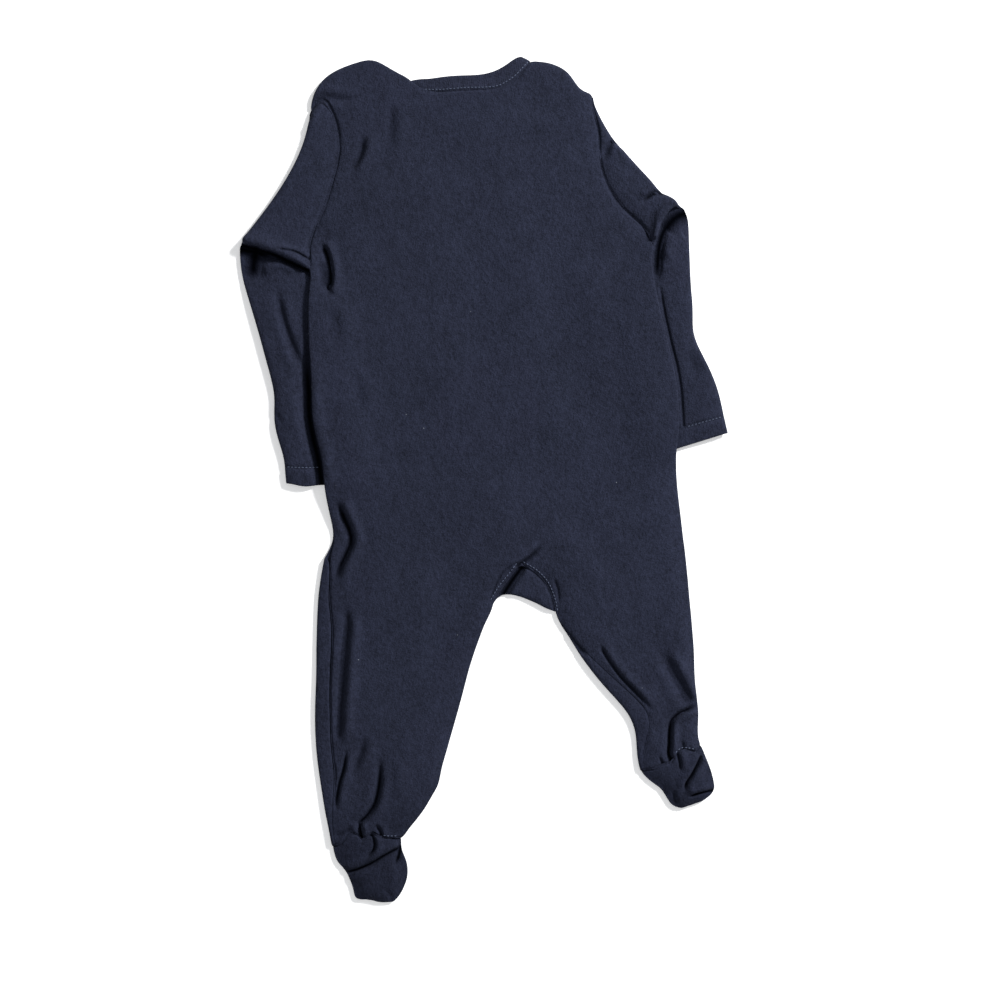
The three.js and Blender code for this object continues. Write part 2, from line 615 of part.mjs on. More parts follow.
function sleeve(side, wall) {
  const upper = side < 0 ? LEFT_UPPER_ARM : RIGHT_UPPER_ARM;
  const rim = side < 0 ? LEFT_RIM : RIGHT_RIM;
  const fore = side < 0 ? LEFT_FOREARM : RIGHT_FOREARM;
  const armhole = side < 0 ? leftArmhole : rightArmhole;
  const rings = [];

  // One flattened ring: a place and a height for any share, above and below.
  const ring = (above, below, width, radius, heights, lowest) => {
    const points = RING_TOP.map((t) => {
      const p = above(t);
      p.z = RING_EDGE + (heights(t, p) - RING_EDGE) * arch(t, width, radius);
      return p;
    });
    RING_LOW.forEach((t) => {
      const p = below(t);
      p.z = RING_EDGE + (lowest(t, p) - RING_EDGE) * arch(t, width, 4);
      points.push(p);
    });
    rings.push(points);
  };
  const rest = () => FLOOR;

  const seam = (t) => {
    const share = 1 - t;
    const along = armhole(share + 0.01).sub(armhole(share - 0.01)).normalize();
    const out = at(along.y, -along.x).multiplyScalar(-side * ARMHOLE_GAP);
    return armhole(share).add(out);
  };
  ring(seam, seam, 130, 9, (t, p) => armholeSeam(p.x, p.y), (t, p) => frontHeight(p.x, p.y));

  const through = (row) => (t) => at(
    five([0, 2, 4, 6, 8].map((k) => row[k]), t),
    five([1, 3, 5, 7, 9].map((k) => row[k]), t),
  );
  upper.forEach((row, index) => {
    const place = through(row);
    const [a, b, c] = row.slice(10);
    ring(place, place, 100 - 12 * index, 8 - index, (t) => five([a, a, b, c, c], t), rest);
  });

  const rimAt = (t) => at(five(rim.map((p) => p[0]), t), five(rim.map((p) => p[1]), t));
  const across = rimAt(1).sub(rimAt(0)).normalize();
  const ahead = at(across.y, -across.x).multiplyScalar(side);
  const deep = (t) => ease(0.08, 0.27, t) * ease(0.95, 0.78, t);
  const folded = (k) => (t) => {
    const shift = FOLD[k][0] * deep(t) + FOLD[k][1] * (0.2 + 0.8 * t) * (1 - deep(t));
    return rimAt(t).addScaledVector(ahead, shift);
  };
  const last = FOLD.length - 1;
  FOLD.forEach(([, , height], k) => {
    const plain = (t) => folded(0)(t).lerp(folded(last)(t), k / last);
    ring(folded(k), plain, 50, 4, () => height, rest);
  });

  fore.forEach(([innerX, innerY, outerX, outerY, a, b, c]) => {
    const place = (t) => at(innerX, innerY).lerp(at(outerX, outerY), t);
    const width = Math.hypot(outerX - innerX, outerY - innerY);
    const onHem = (t, p) => wall(p) / 2;
    ring(place, place, width, 4, (t) => five([a, a, b, c, c], t), onHem);
  });
  return new Surface().grid(rings, true, side > 0);
}

function neckband() {
  const rows = BAND.map(([edgeX, edgeY, seamX, seamY, height]) => {
    const edge = at(edgeX, edgeY, height);
    const seam = at(seamX, seamY, height);
    return spaced(3).map((t) => edge.clone().lerp(seam, t));
  });
  return new Surface().grid(rows);
}

const FOOT_STEPS = [0, 0.05, 0.14, 0.26, 0.42, 0.58, 0.74, 0.86, 0.95, 1];

// Sole and upper of a foot lie on each other, sewn together at the outline.
function foot(side, onTop) {
  const table = side < 0 ? LEFT_FOOT : RIGHT_FOOT;
  const last = table.length - 1;
  const seam = FLOOR + SEAM_RISE + 0.05;
  const rows = table.map(([outerY, outerX, innerY, innerX, height], index) => {
    const start = at(outerX - side * EDGE, outerY);
    const end = at(innerX + side * EDGE, innerY);
    return FOOT_STEPS.map((t) => {
      const p = start.clone().lerp(end, t);
      const inside = ease(0, 0.26, t) * ease(1, 0.74, t) * (index === last ? 0 : 1);
      p.z = onTop ? seam + (height - seam) * inside : FLOOR;
      return p;
    });
  });
  return new Surface().grid(rows);
}

function snap(y) {
  const disc = new THREE.CylinderGeometry(SNAP_RADIUS, SNAP_RADIUS - 0.4, SNAP_THICK, 20);
  disc.rotateX(Math.PI / 2);
  disc.translate(LAP_MIDDLE, y, SNAP_THICK / 2);
  return disc;
}

const garment = new THREE.Group();
garment.name = 'onesie_pajama';

function add(name, geometry, color = NAVY, roughness = 0.95, metalness = 0) {
  const material = new THREE.MeshStandardMaterial({ color, roughness, metalness });
  geometry.translate(...TO_MIDDLE, 0);
  const mesh = new THREE.Mesh(geometry, material);
  mesh.name = name;
  garment.add(mesh);
}

add('back', back().thicken(CLOTH));
add('front_left', frontPanel(-1).thicken(CLOTH));
add('front_right', frontPanel(1).thicken(CLOTH));
add('gusset', gusset().thicken(CLOTH));
add('sleeve_left', sleeve(-1, hemWall(-1)).thicken(hemWall(-1)));
add('sleeve_right', sleeve(1, hemWall(1)).thicken(hemWall(1)));
add('neckband', neckband().thicken(RIB), NAVY_RIB);
add('foot_left_sole', foot(-1, true).thicken(CLOTH));
add('foot_left_upper', foot(-1, false).thicken(CLOTH));
add('foot_right_sole', foot(1, true).thicken(CLOTH));
add('foot_right_upper', foot(1, false).thicken(CLOTH));
SNAPS.forEach((y, index) => {
  add(`snap_${index + 1}`, snap(y), SNAP_COLOUR, 0.45, 0.6);
});

export default garment;
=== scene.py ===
import math

import bmesh
import bpy
import numpy as np
from mathutils import Matrix, Vector
from mathutils.bvhtree import BVHTree


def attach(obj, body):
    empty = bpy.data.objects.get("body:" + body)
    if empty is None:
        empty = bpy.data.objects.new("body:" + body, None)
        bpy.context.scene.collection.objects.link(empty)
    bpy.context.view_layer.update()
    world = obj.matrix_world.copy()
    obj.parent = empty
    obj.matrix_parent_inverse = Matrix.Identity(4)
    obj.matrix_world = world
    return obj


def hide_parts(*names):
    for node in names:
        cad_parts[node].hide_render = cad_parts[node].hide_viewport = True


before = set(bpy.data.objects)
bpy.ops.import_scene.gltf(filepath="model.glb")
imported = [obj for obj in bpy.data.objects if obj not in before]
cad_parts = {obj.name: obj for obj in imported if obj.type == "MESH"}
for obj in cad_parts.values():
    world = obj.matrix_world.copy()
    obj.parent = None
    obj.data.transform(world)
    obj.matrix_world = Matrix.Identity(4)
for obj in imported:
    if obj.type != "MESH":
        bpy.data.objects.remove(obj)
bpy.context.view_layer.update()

# %% [markdown]
# A footed sleeper lies face down on a pale floor. The solids give each piece
# its place and its cut; here they become soft knit. Lengths in the tables are
# millimetres, X to the right of the garment, Y towards the neck, measured from
# the same point as the tables of the solids.

# %% Scale
MM = 0.001
TO_MIDDLE = np.array([-0.5, 0.6])
print("solid pieces:", len(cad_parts))

# %% [markdown]
# The camera looks straight down. The garment leans a little to the left in
# the picture, so the camera is turned about its own line of sight.

# %% Camera
LEAN = math.radians(8.7)
PICTURE = 0.760
DISTANCE = 1.25
MIDDLE = Vector((-0.0054, -0.0282, 0))
camera_data = bpy.data.cameras.new("camera")
camera_data.sensor_width = 36
camera_data.lens = 36 * DISTANCE / PICTURE
camera = bpy.data.objects.new("camera", camera_data)
bpy.context.scene.collection.objects.link(camera)
right = Vector((math.cos(LEAN), -math.sin(LEAN), 0))
up = Vector((math.sin(LEAN), math.cos(LEAN), 0))
turn = Matrix((right, up, Vector((0, 0, 1)))).transposed()
camera.matrix_world = Matrix.Translation(MIDDLE + Vector((0, 0, DISTANCE))) @ turn.to_4x4()
bpy.context.scene.camera = camera
print("lens", round(camera_data.lens, 1))

# %% [markdown]
# A plain floor, a wide soft lamp from the upper right and an even sky. The
# floor glows very slightly, which keeps the shadow on it pale.

# %% Floor and light
floor_mesh = bpy.data.meshes.new("floor")
floor_form = bmesh.new()
bmesh.ops.create_grid(floor_form, x_segments=1, y_segments=1, size=6)
floor_form.to_mesh(floor_mesh)
floor_form.free()
floor = bpy.data.objects.new("floor", floor_mesh)
floor.location.z = -0.0002
bpy.context.scene.collection.objects.link(floor)
floor_material = bpy.data.materials.new("pale_floor")
floor_material.use_nodes = True
floor_shader = floor_material.node_tree.nodes["Principled BSDF"]
floor_shader.inputs["Base Color"].default_value = (0.9, 0.9, 0.9, 1)
floor_shader.inputs["Roughness"].default_value = 0.9
floor_shader.inputs["Emission Color"].default_value = (1, 1, 1, 1)
floor_shader.inputs["Emission Strength"].default_value = 0.3
floor_mesh.materials.append(floor_material)

sky = bpy.data.worlds.new("sky")
sky.use_nodes = True
sky.node_tree.nodes["Background"].inputs["Color"].default_value = (0.95, 0.97, 1, 1)
sky.node_tree.nodes["Background"].inputs["Strength"].default_value = 0.36
bpy.context.scene.world = sky
bpy.context.scene.view_settings.view_transform = "Standard"


def lamp(name, place, target, size, power):
    data = bpy.data.lights.new(name, "AREA")
    data.shape = "DISK"
    data.size = size
    data.energy = power
    light = bpy.data.objects.new(name, data)
    bpy.context.scene.collection.objects.link(light)
    light.location = place
    aim = Vector(target) - Vector(place)
    light.rotation_euler = aim.to_track_quat("-Z", "Y").to_euler()
    return light


lamp("key", (2.2, 1.35, 1.5), (0, 0, 0), 0.6, 176)
lamp("fill", (-0.3, -1.2, 1.5), (0, -0.1, 0), 1.4, 6)

# %% [markdown]
# The knit is a dull brushed cotton, so dark that its folds show by shade.
# Its wales run up the garment and hardly show under the nap. Fibres that lie
# every way make it speckled, with a fleck of lint here and there. Deep in a
# fold the colour is darkened towards black as painted shade, and the sheen and
# specular fade there too; the material reads how deep each place lies from an
# attribute of the mesh.

# %% Knit material


SPECULAR = 0.08
SHEEN = 0.03
# The darkest painted shade in a fold, as a share of the knit's colour.
PAINTED_SHADE_FACTOR = 0.05
FLECK_SIZE = 0.02


def knit(name, colour, wale=1.2, wale_depth=0.1, lint=1.0):
    material = bpy.data.materials.new(name)
    material.use_nodes = True
    tree = material.node_tree
    nodes, links = tree.nodes, tree.links
    shader = nodes["Principled BSDF"]
    shader.inputs["Roughness"].default_value = 0.95
    shader.inputs["Sheen Roughness"].default_value = 0.6
    shader.inputs["Sheen Tint"].default_value = (0.5, 0.57, 0.85, 1)
    place = nodes.new("ShaderNodeTexCoord")

    def noise(scale, detail, rough, stretch=(1, 1, 1)):
        mapping = nodes.new("ShaderNodeMapping")
        mapping.inputs["Scale"].default_value = stretch
        links.new(place.outputs["Object"], mapping.inputs["Vector"])
        texture = nodes.new("ShaderNodeTexNoise")
        texture.inputs["Scale"].default_value = scale
        texture.inputs["Detail"].default_value = detail
        texture.inputs["Roughness"].default_value = rough
        links.new(mapping.outputs["Vector"], texture.inputs["Vector"])
        return texture.outputs["Fac"]

    def blend(kind, a, b, factor=None):
        mix = nodes.new("ShaderNodeMath")
        mix.operation = kind
        for socket, value in ((0, a), (1, b), (2, factor)):
            if value is None:
                continue
            if isinstance(value, (int, float)):
                mix.inputs[socket].default_value = value
            else:
                links.new(value, mix.inputs[socket])
        return mix.outputs[0]

    speckle = noise(900, 2, 0.75)
    tuft = noise(420, 2, 0.6, (1, 0.7, 1))
    mottle = noise(130, 3, 0.6, (1, 0.6, 1))
    broad = noise(22, 2, 0.5)
    ramp = nodes.new("ShaderNodeValToRGB")
    dark, light = ramp.color_ramp.elements
    dark.position, light.position = 0.36, 0.66
    dark.color = (*(c * 0.5 for c in colour), 1)
    light.color = (*(c * 1.62 for c in colour), 1)
    mixed = blend("MULTIPLY_ADD", speckle, 0.42, blend("MULTIPLY", tuft, 0.3))
    mixed = blend("MULTIPLY_ADD", mottle, 0.18, mixed)
    mixed = blend("MULTIPLY_ADD", broad, 0.1, mixed)
    links.new(mixed, ramp.inputs["Fac"])

    cells = nodes.new("ShaderNodeTexVoronoi")
    cells.inputs["Scale"].default_value = 48
    links.new(place.outputs["Object"], cells.inputs["Vector"])
    fleck = blend("LESS_THAN", cells.outputs["Distance"], FLECK_SIZE * lint)
    flecked = nodes.new("ShaderNodeMix")
    flecked.data_type = "RGBA"
    links.new(fleck, flecked.inputs["Factor"])
    links.new(ramp.outputs["Color"], flecked.inputs["A"])
    flecked.inputs["B"].default_value = (0.11, 0.12, 0.14, 1)
    # Painted shade: where the attribute says a place lies deep in a fold, the colour darkens and the sheen
    # and specular fade.
    painted_shade = nodes.new("ShaderNodeAttribute")
    painted_shade.attribute_name = "hollow"
    painted_shade_mix = nodes.new("ShaderNodeMix")
    painted_shade_mix.data_type = "RGBA"
    links.new(painted_shade.outputs["Fac"], painted_shade_mix.inputs["Factor"])
    links.new(flecked.outputs["Result"], painted_shade_mix.inputs["A"])
    painted_shade_mix.inputs["B"].default_value = (*(c * PAINTED_SHADE_FACTOR for c in colour), 1)
    links.new(painted_shade_mix.outputs["Result"], shader.inputs["Base Color"])
    outside_painted_shade = blend("SUBTRACT", 1.0, painted_shade.outputs["Fac"])
    links.new(blend("MULTIPLY", outside_painted_shade, SPECULAR), shader.inputs["Specular IOR Level"])
    links.new(blend("MULTIPLY", outside_painted_shade, SHEEN), shader.inputs["Sheen Weight"])

    wave = nodes.new("ShaderNodeTexWave")
    wave.wave_type = "BANDS"
    wave.bands_direction = "X"
    wave.inputs["Scale"].default_value = 2 * math.pi / 20 / (wale * MM)
    wave.inputs["Distortion"].default_value = 1.2
    wave.inputs["Detail"].default_value = 1
    links.new(place.outputs["Object"], wave.inputs["Vector"])
    height = blend("MULTIPLY_ADD", wave.outputs["Fac"], wale_depth, speckle)
    height = blend("MULTIPLY_ADD", tuft, 1.0, height)
    height = blend("MULTIPLY_ADD", mottle, 0.9, height)
    bump = nodes.new("ShaderNodeBump")
    bump.inputs["Strength"].default_value = 0.9
    bump.inputs["Distance"].default_value = 0.0006
    links.new(height, bump.inputs["Height"])
    links.new(bump.outputs["Normal"], shader.inputs["Normal"])
    return material


NAVY = (0.0132, 0.0155, 0.0287)
navy = knit("navy_fleece_knit", NAVY)
navy_rib = knit("navy_rib_knit", (0.0142, 0.0166, 0.0300), wale=1.6, wale_depth=0.15, lint=0)
print("materials:", navy.name, navy_rib.name)

# %% [markdown]
# A fold is drawn as a line on the cloth with a cross-section: soft humps and
# hollows beside the line. To bend the cloth along it, each point needs its
# distance from the line, the side it lies on and how far along it is. The same
# lines tell how deep a point lies in a fold, which the material paints as
# shade. Only sharp folds count, and the broad ones among them less.

# %% Lines on the cloth


def smooth_line(line, step=2.0):
    ends = np.array(line, float)
    ends = np.vstack([2 * ends[0] - ends[1], ends, 2 * ends[-1] - ends[-2]])
    parts = []
    for p0, p1, p2, p3 in zip(ends, ends[1:], ends[2:], ends[3:]):
        count = max(2, int(np.linalg.norm(p2 - p1) / step))
        t = np.linspace(0, 1, count, endpoint=False)[:, None]
        parts.append(0.5 * (2 * p1 + (p2 - p0) * t + (2 * p0 - 5 * p1 + 4 * p2 - p3) * t ** 2
                            + (3 * p1 - p0 - 3 * p2 + p3) * t ** 3))
    parts.append(ends[-2:-1])
    return np.vstack(parts)


def beside(spots, line):
    """Distance (positive to the left), share of length, unit vector away."""
    curve = smooth_line(line)
    steps = np.diff(curve, axis=0)
    lengths = np.linalg.norm(steps, axis=1)
    starts = np.concatenate([[0], np.cumsum(lengths)])
    near = np.full(len(spots), 1e9)
    side = np.ones(len(spots))
    share = np.zeros(len(spots))
    away = np.zeros((len(spots), 2))
    for a, step, length, start in zip(curve, steps, lengths, starts):
        rel = spots - a
        t = np.clip(rel @ step / length ** 2, 0, 1)
        gap = rel - t[:, None] * step
        far = np.linalg.norm(gap, axis=1)
        closer = far < near
        near[closer] = far[closer]
        turn = step[0] * gap[:, 1] - step[1] * gap[:, 0]
        side[closer] = np.where(turn[closer] < 0, -1, 1)
        share[closer] = (start + t[closer] * length) / starts[-1]
        away[closer] = gap[closer] / np.maximum(far[closer], 1e-6)[:, None]
    return near * side, share, away


def ease(start, end, value):
    t = np.clip((value - start) / (end - start), 0, 1)
    return t * t * (3 - 2 * t)


def folded(spots, folds):
    """Height that a list of folds adds at each spot."""
    height = np.zeros(len(spots))
    for line, section, (first, last) in folds:
        reach = 3.2 * max(abs(offset) / 3 + width for offset, _, width in section)
        corners = np.array(line)
        low, high = corners.min(0) - reach, corners.max(0) + reach
        inside = np.all((spots > low) & (spots < high), axis=1)
        if not inside.any():
            continue
        away, share, _ = beside(spots[inside], line)
        rise = sum(amount * np.exp(-((away - offset) / width) ** 2)
                   for offset, amount, width in section)
        if first:
            rise = rise * ease(0, first, share)
        if last:
            rise = rise * ease(1, 1 - last, share)
        height[inside] += rise
    return height


# How deep and how narrow a fold must be to get painted shade, and how much less the broad ones get.
SHALLOW, DEEP = -0.7, -3.4
BROAD = 2.3
BROAD_SHADE = 0.4


def painted_fold_shade(spots, folds):
    """Painted shade: how deep each spot lies in a sharp fold, from 0 to 1."""
    painted_shade = np.zeros(len(spots))
    for line, section, (first, last) in folds:
        for offset, amount, width in section:
            if amount > SHALLOW or width > 7:
                continue
            corners = np.array(line)
            reach = 3 * width + abs(offset)
            low, high = corners.min(0) - reach, corners.max(0) + reach
            inside = np.all((spots > low) & (spots < high), axis=1)
            if not inside.any():
                continue
            away, share, _ = beside(spots[inside], line)
            deep = min(1, amount / DEEP)
            if width > BROAD and amount > DEEP:
                deep *= BROAD_SHADE
            deep = deep * np.exp(-((away - offset) / (0.85 * width)) ** 2)
            if first:
                deep = deep * ease(0, first, share)
            if last:
                deep = deep * ease(1, 1 - last, share)
            painted_shade[inside] = np.maximum(painted_shade[inside], deep)
    return painted_shade


# %% [markdown]
# The folds, piece by piece, as they lie on the floor. Each has its line in
# millimetres, its cross-section as (offset to the left, height, half width),
# and the shares of its length over which its two ends fade out.

# %% Folds in the body and legs
BODY_FOLDS = [
    # hollows below the left shoulder
    ([(-101, 286), (-95, 291.5), (-89, 293), (-82, 290.5), (-73, 288.5), (-66, 289), (-57, 293)],
     [(0, -1.1, 2.6), (5, 0.9, 4.0), (-6, 0.6, 4)], (0, 0.5)),
    ([(-65, 262), (-67, 253), (-72, 243), (-82, 231)], [(0, -2.4, 2.6), (5.5, 1.4, 4)], (0.3, 0.4)),
    ([(-41, 284), (-43, 267), (-46, 254), (-51, 241)], [(0, -1.2, 3.2), (8, 0.9, 5.5)], (0.4, 0.5)),
    # pocket in the left armpit
    ([(-109, 184), (-106.4, 177), (-105.2, 169), (-105.2, 161), (-106.6, 153), (-110.5, 146)],
     [(-0.6, -5.0, 1.7), (3.6, 2.6, 3.2)], (0.16, 0.12)),
    ([(-111.5, 174), (-110.6, 166), (-110.6, 158), (-112, 148)], [(0, -3.0, 4.2)], (0.5, 0.15)),
    # soft hollows down the left side
    ([(-112, 140), (-108, 122), (-110, 104)], [(0, -1.2, 4.5), (8, 0.9, 6)], (0.4, 0.4)),
    ([(-97, 84), (-98, 68), (-97, 50)], [(0, -1.0, 4), (6, 0.7, 5)], (0.4, 0.4)),
    # the left edge stands over the forearm
    ([(-131, 104), (-133, 80), (-135.5, 56), (-134.5, 36), (-133.5, 14), (-135, -6)],
     [(4, 1.5, 4.5)], (0.25, 0.2)),
    # left hip, where the cloth dips between side and thigh
    ([(-127, -8), (-124, -22), (-121, -34), (-121, -43), (-126, -52), (-132, -61), (-139, -74)],
     [(-0.5, -3.5, 2.3), (5.4, 2.6, 4), (-7.5, 1.0, 4)], (0.22, 0.25)),
    # long trough beside the seam of the left leg
    ([(-133, -88), (-134, -104), (-139, -124), (-144, -146), (-148, -163), (-151, -178), (-156, -194)],
     [(0, -3.3, 2.6), (6.8, 2.7, 4.2), (-7, 0.9, 3.5)], (0.2, 0.14)),
    # creases above the left ankle
    ([(-148, -196), (-152, -210), (-157, -221), (-160.5, -231), (-164, -243)],
     [(0, -3.0, 1.4), (3.8, 1.8, 3)], (0.3, 0.25)),
    ([(-132, -188), (-137, -200), (-144, -211), (-150, -219)], [(0, -2.0, 2.8), (5.5, 1.4, 4)], (0.4, 0.4)),
    ([(-124, -206), (-126.5, -221), (-130, -233.5), (-134.5, -243), (-141.5, -250.5), (-151, -256.5)],
     [(0, -4.0, 1.8), (5.2, 2.7, 3.6), (-6, 1.2, 4)], (0.35, 0.12)),
    ([(-147, -252), (-147.5, -259), (-147, -267)],
     [(0, -3.6, 1.3), (3.6, 1.6, 2.6), (-4, 0.9, 3)], (0.25, 0)),
    ([(-106, -212), (-112, -228), (-117, -244)], [(0, 1.1, 6), (-9, -0.9, 5)], (0.4, 0.4)),
    # gathers along the left ankle seam
    ([(-170, -263), (-160, -260), (-150, -257)], [(0, -1.6, 2.2)], (0.3, 0.3)),
    ([(-136, -257), (-133, -262), (-132, -268)], [(0, -2.0, 1.4), (3.4, 1.0, 2.6)], (0.4, 0)),
    # crease above the crotch
    ([(1, -80), (9, -76), (15, -72), (23, -66)], [(0, -2.4, 1.9), (3.6, 1.0, 3)], (0, 0.5)),
    ([(26, -92), (28, -103), (27.5, -114)], [(0, -0.8, 1.1), (-3.2, 0.5, 2)], (0.3, 0.3)),
    ([(2, -77.5), (-6.5, -80.5), (-12.5, -84.5), (-19, -93.5), (-25, -105)], [(0, -1.1, 1.0)], (0.1, 0.2)),
    # hollow inside the edge of the right leg
    ([(98, -156), (102, -171), (107, -184), (111, -196), (114, -206)],
     [(0, -2.6, 3.8), (7.5, 1.8, 4), (-8, 0.9, 4)], (0.4, 0.15)),
    # sharp fold above the right ankle
    ([(120, -204), (112, -207), (104, -209.5), (98, -214), (95.5, -222), (94, -231),
      (92.5, -239), (96, -247)],
     [(0, -4.2, 1.4), (3.6, 3.0, 2.8), (-5, 0.9, 3)], (0.16, 0.05)),
    ([(80, -196), (80, -214), (82, -236)], [(0, 1.0, 5)], (0.4, 0.4)),
    # crease beside the seam of the right leg
    ([(53, -148), (58, -161), (66, -176), (76, -190), (88, -208)],
     [(0, -1.9, 1.5), (3.6, 1.3, 3.2)], (0.1, 0.35)),
    ([(28, -133), (35, -145), (43, -157)], [(0, -1.8, 1.6)], (0.3, 0.3)),
    # gathers along the right ankle seam
    ([(84, -238), (86, -243), (88, -249)], [(0, -1.6, 1.3)], (0.4, 0)),
    ([(104, -229), (104, -233), (103, -239)], [(0, -1.5, 1.5)], (0.4, 0)),
    # faint broad waves over the back
    ([(60, 170), (66, 90), (62, 10)], [(0, -0.7, 14), (24, 0.5, 14)], (0.3, 0.3)),
    ([(-20, 210), (-30, 100), (-24, -20)], [(0, 0.6, 18), (30, -0.5, 16)], (0.3, 0.3)),
    ([(20, -40), (40, -70), (70, -120)], [(0, 0.7, 12), (18, -0.6, 10)], (0.4, 0.4)),
    ([(-60, -40), (-80, -110), (-100, -170)], [(0, 0.6, 14), (22, -0.6, 11)], (0.4, 0.4)),
    ([(20, 250), (60, 236), (92, 236)], [(0, -0.6, 9), (14, 0.4, 9)], (0.4, 0.4)),
]

# %% [markdown]
# Each sleeve is turned back on itself at the elbow. The lip of that fold
# belongs to the upper arm, the hollow below it to the forearm, so their folds
# are kept in separate tables.

# %% Folds in the sleeves
LEFT_RIM = [(-175, 197), (-168.6, 193.4), (-158.5, 188.8), (-146, 182.6), (-133.6, 174.8), (-121.8, 166.6),
            (-115, 162)]
LEFT_LIP_FOLDS = [
    # head of the sleeve, tucked below the shoulder
    ([(-105, 279), (-102, 285), (-97, 289.5), (-91, 292)], [(0, -2.2, 1.8), (-4.5, 1.4, 3.5)], (0, 0.3)),
    ([(-172, 195.5), (-158, 190.5), (-147, 184.5), (-138, 179), (-128, 172.5), (-119, 166.5)],
     [(1.5, 2.8, 5)], (0.03, 0.08)),
    # sewn line just above the lip
    ([(-143, 184), (-137, 182.5), (-129, 179.5), (-119, 172)], [(0, -1.5, 0.9), (2.4, 0.6, 1.6)], (0.2, 0)),
]
LEFT_FOREARM_FOLDS = [
    # cave below the lip
    ([(-174, 194), (-168, 191.5), (-158, 187), (-146, 181.5), (-134, 173.5), (-122, 165.5), (-115, 161)],
     [(-0.6, -3.8, 2.2)], (0.0, 0.0)),
    ([(-159, 187), (-161, 181), (-163.3, 172.3), (-164.7, 162)], [(0, -3.6, 6.6)], (0, 0.4)),
    ([(-172, 189), (-161, 185.5), (-151, 181), (-141, 176)], [(0, -3.6, 3.8)], (0, 0.5)),
    ([(-158, 167), (-152, 172), (-144, 173.5), (-137, 171), (-129, 166)], [(-1.5, 1.5, 3.4)], (0.2, 0.2)),
    # long crease of the forearm
    ([(-148, 158), (-147.5, 140), (-145.5, 122), (-141, 103), (-138, 90)],
     [(0, -2.2, 2.8), (6.5, 1.0, 4), (-8, 1.2, 5)], (0.3, 0.2)),
    # gap between the forearm and the body
    ([(-130, 122), (-134, 96), (-136, 74), (-138, 58), (-138, 40), (-136.5, 20), (-137, -6)],
     [(0, -3.8, 3.6), (5, -2, 5)], (0.35, 0)),
    ([(-150, 90), (-150, 60), (-149, 34)], [(0, 1.2, 5)], (0.4, 0.3)),
    ([(-162, 60), (-156, 50), (-150, 44)], [(0, -1.1, 2.6)], (0, 0.5)),
    # hem stitch
    ([(-166, 21.5), (-157, 19.5), (-146, 17.5), (-130, 16)], [(0, -0.8, 1.1), (-4, 0.4, 3)], (0, 0)),
]
RIGHT_RIM = [(137, 137), (139.8, 143.4), (145, 156.6), (150, 164.4), (156.6, 170.2), (163.6, 171.6),
             (170, 172)]
RIGHT_LIP_FOLDS = [
    ([(127, 224), (121, 227), (115, 221), (111, 213)], [(0, -2.8, 2.8), (5.5, 1.2, 4)], (0, 0.4)),
    ([(134, 176.5), (140, 180.5), (146, 182.5), (152, 181.5)], [(0, -2.4, 1.6), (3.8, 1.3, 3)], (0.4, 0)),
    ([(164, 175.5), (156, 172), (149.5, 165.5), (144.5, 157.5), (140, 147)], [(-1, 2.8, 4.5)], (0.1, 0.1)),
]
RIGHT_FOREARM_FOLDS = [
    # cave below the lip
    ([(168, 165), (161, 163.5), (154.5, 159.5), (149, 153)], [(0, -3.8, 6.2)], (0, 0.15)),
    ([(154, 160), (147.5, 152), (143.6, 143), (141, 133), (139, 122), (138.6, 114)],
     [(0, -3.8, 3.2)], (0.05, 0.3)),
    ([(164, 148), (156, 144.5), (150, 139), (147, 130)], [(0, 1.6, 4)], (0.1, 0.3)),
    # gap between the forearm and the body
    ([(140, 122), (139.5, 100), (141, 72), (143, 50), (143, 30), (141, 6)], [(0, -1.2, 1.2)], (0.2, 0)),
    ([(152, 66), (156, 50), (160, 33)], [(0, -1.3, 4.5), (9, 1.0, 5)], (0.4, 0.4)),
    # hem stitch
    ([(176, 9), (171, 8), (154, 6), (140, 4), (130, 3)], [(0, -0.8, 1.1), (4, 0.4, 3)], (0, 0)),
]

# %% Folds in the feet and the gusset
FOOT_FOLDS = [
    # fold across the left foot and the hump above it
    ([(-165, -290.5), (-156, -289.5), (-149, -288), (-142, -286), (-135, -283), (-127, -280), (-118, -277)],
     [(0, -3.4, 1.3), (3.8, 2.1, 3.0), (-5, 0.9, 3.5)], (0.12, 0.1)),
    ([(-140, -263), (-138, -268), (-138.5, -274), (-143, -279), (-149, -281)],
     [(0, -2.6, 1.1), (3.0, 1.6, 2.4)], (0, 0.4)),
    ([(-119, -277), (-122, -285), (-127, -292)], [(0, -3.4, 2.0)], (0, 0.5)),
    ([(-137, -304), (-133, -311), (-131, -318)], [(0, -1.0, 2.2)], (0.5, 0)),
    # folds of the right foot
    ([(117, -243), (112, -250), (106.5, -257), (102, -262), (99, -268)],
     [(0, -3.4, 1.2), (-3.6, 1.2, 3), (3.6, 1.8, 2.6)], (0.08, 0.2)),
    ([(101, -273), (108, -271.5), (115, -271), (122, -271)], [(0, -3.2, 1.2), (3.0, 1.8, 2.6)], (0.3, 0)),
    ([(92, -264), (91.5, -271), (92, -278)], [(0, -1.4, 1.8)], (0.4, 0.2)),
    ([(99, -240), (99.5, -247), (98, -253)], [(0, -2.2, 1.2), (3.6, 1.0, 2.6)], (0, 0.4)),
]
GUSSET_FOLDS = [
    ([(6, -79.5), (-0.5, -86), (-5, -90.5), (-12.5, -99)], [(0, -3.4, 3.0), (5.2, 1.4, 3)], (0, 0)),
]
ALL_FOLDS = (BODY_FOLDS + LEFT_LIP_FOLDS + LEFT_FOREARM_FOLDS + RIGHT_LIP_FOLDS + RIGHT_FOREARM_FOLDS
             + FOOT_FOLDS + GUSSET_FOLDS)
print("folds:", len(ALL_FOLDS))

# %% [markdown]
# Each cloth piece is a copy of its solid. Its facets are joined to four-sided
# ones and divided smoothly, so the cut edges turn round. Near a fold the upper
# side gets smaller facets, and once more where the fold is sharp.

# %% Cloth from a solid


